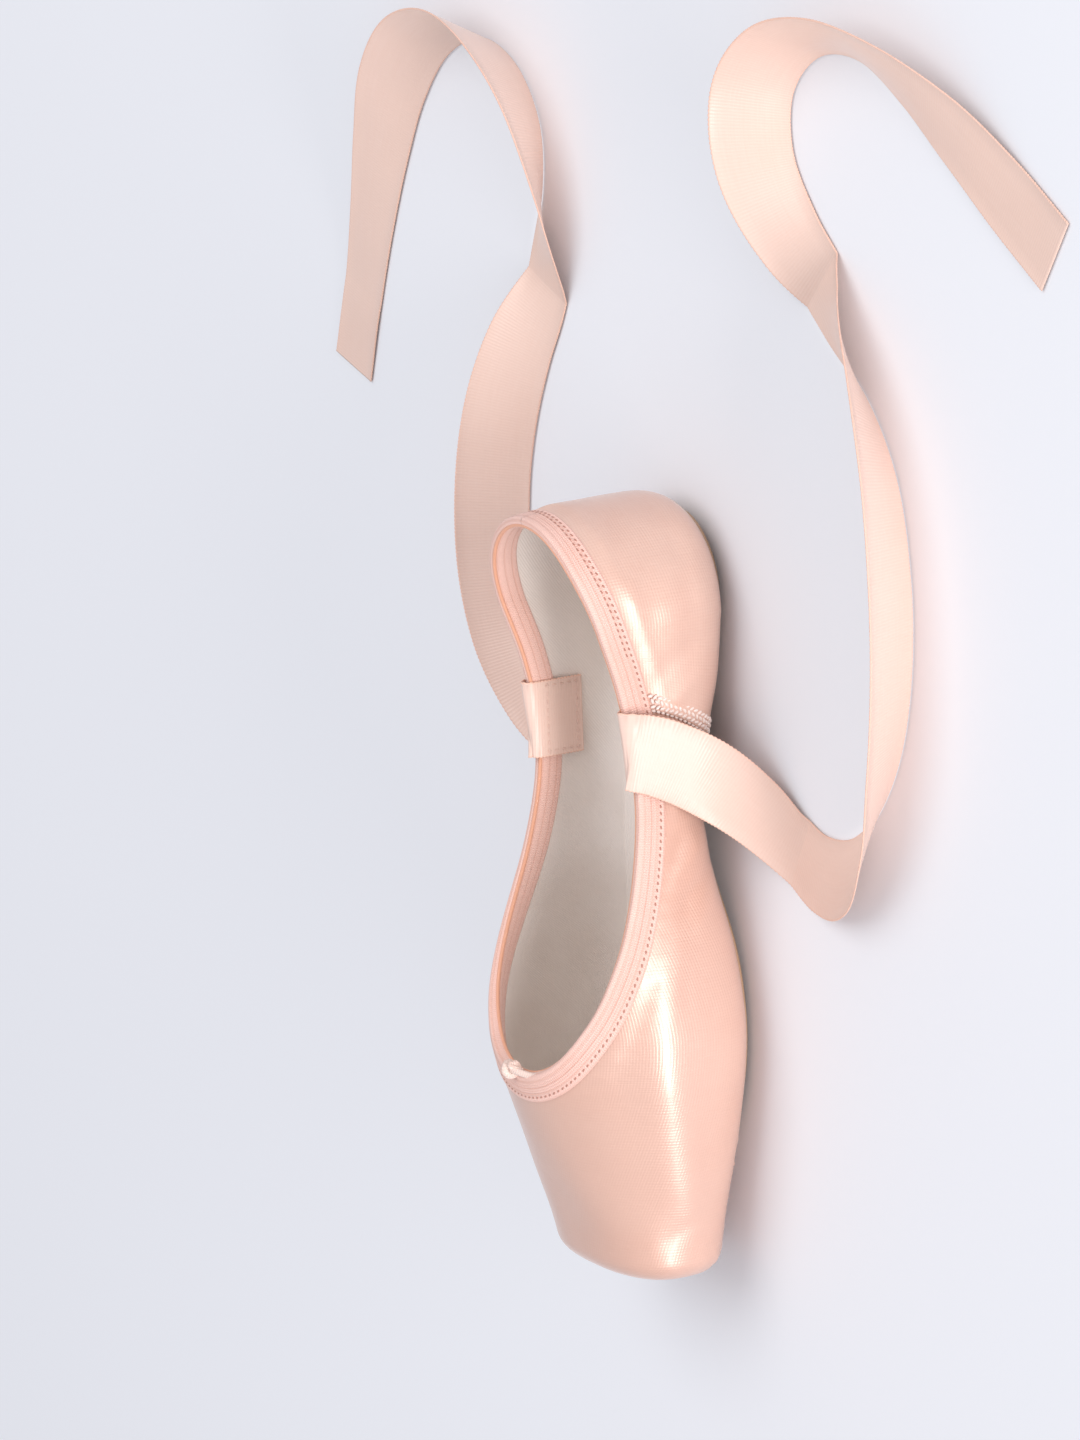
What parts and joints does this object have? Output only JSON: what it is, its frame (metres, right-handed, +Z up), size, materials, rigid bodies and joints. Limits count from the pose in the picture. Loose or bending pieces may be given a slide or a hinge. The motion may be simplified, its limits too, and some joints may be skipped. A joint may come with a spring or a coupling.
{
  "type": "pointe shoe",
  "caption": "Satin pointe shoe with a stiff flat-tipped box, hollow inside, thin leather outsole, stretch-bound collar, knotted drawstring and loose ribbons.",
  "frame": {"origin": "on the floor, below the middle of the shoe's own box, which is measured without the loose ribbons", "axes": "+X from heel to toe, +Z up from the sole, and +Y to the outer side when the shoe is worn on a left foot"},
  "size_m": [0.3531, 0.3764, 0.0645],
  "materials": {
    "satin": "glossy woven satin, peach pink",
    "heel_satin": "glossy woven satin, peach pink",
    "binding_knit": "matt stretch knit, pale pink",
    "drawstring_elastic": "matt fine elastic, pale pink",
    "ribbon_satin": "glossy satin ribbon, pale peach",
    "outsole_leather": "buffed suede leather, light brown",
    "lining": "matt cotton drill, off-white"
  },
  "bodies": {
    "root": {"upper": "satin", "outsole": "outsole_leather", "insole": "lining", "heel_panel": "heel_satin", "binding": "binding_knit", "drawstring": "drawstring_elastic", "ribbon_outer_side": "ribbon_satin", "ribbon_inner_side": "ribbon_satin"}
  },
  "joints": []
}
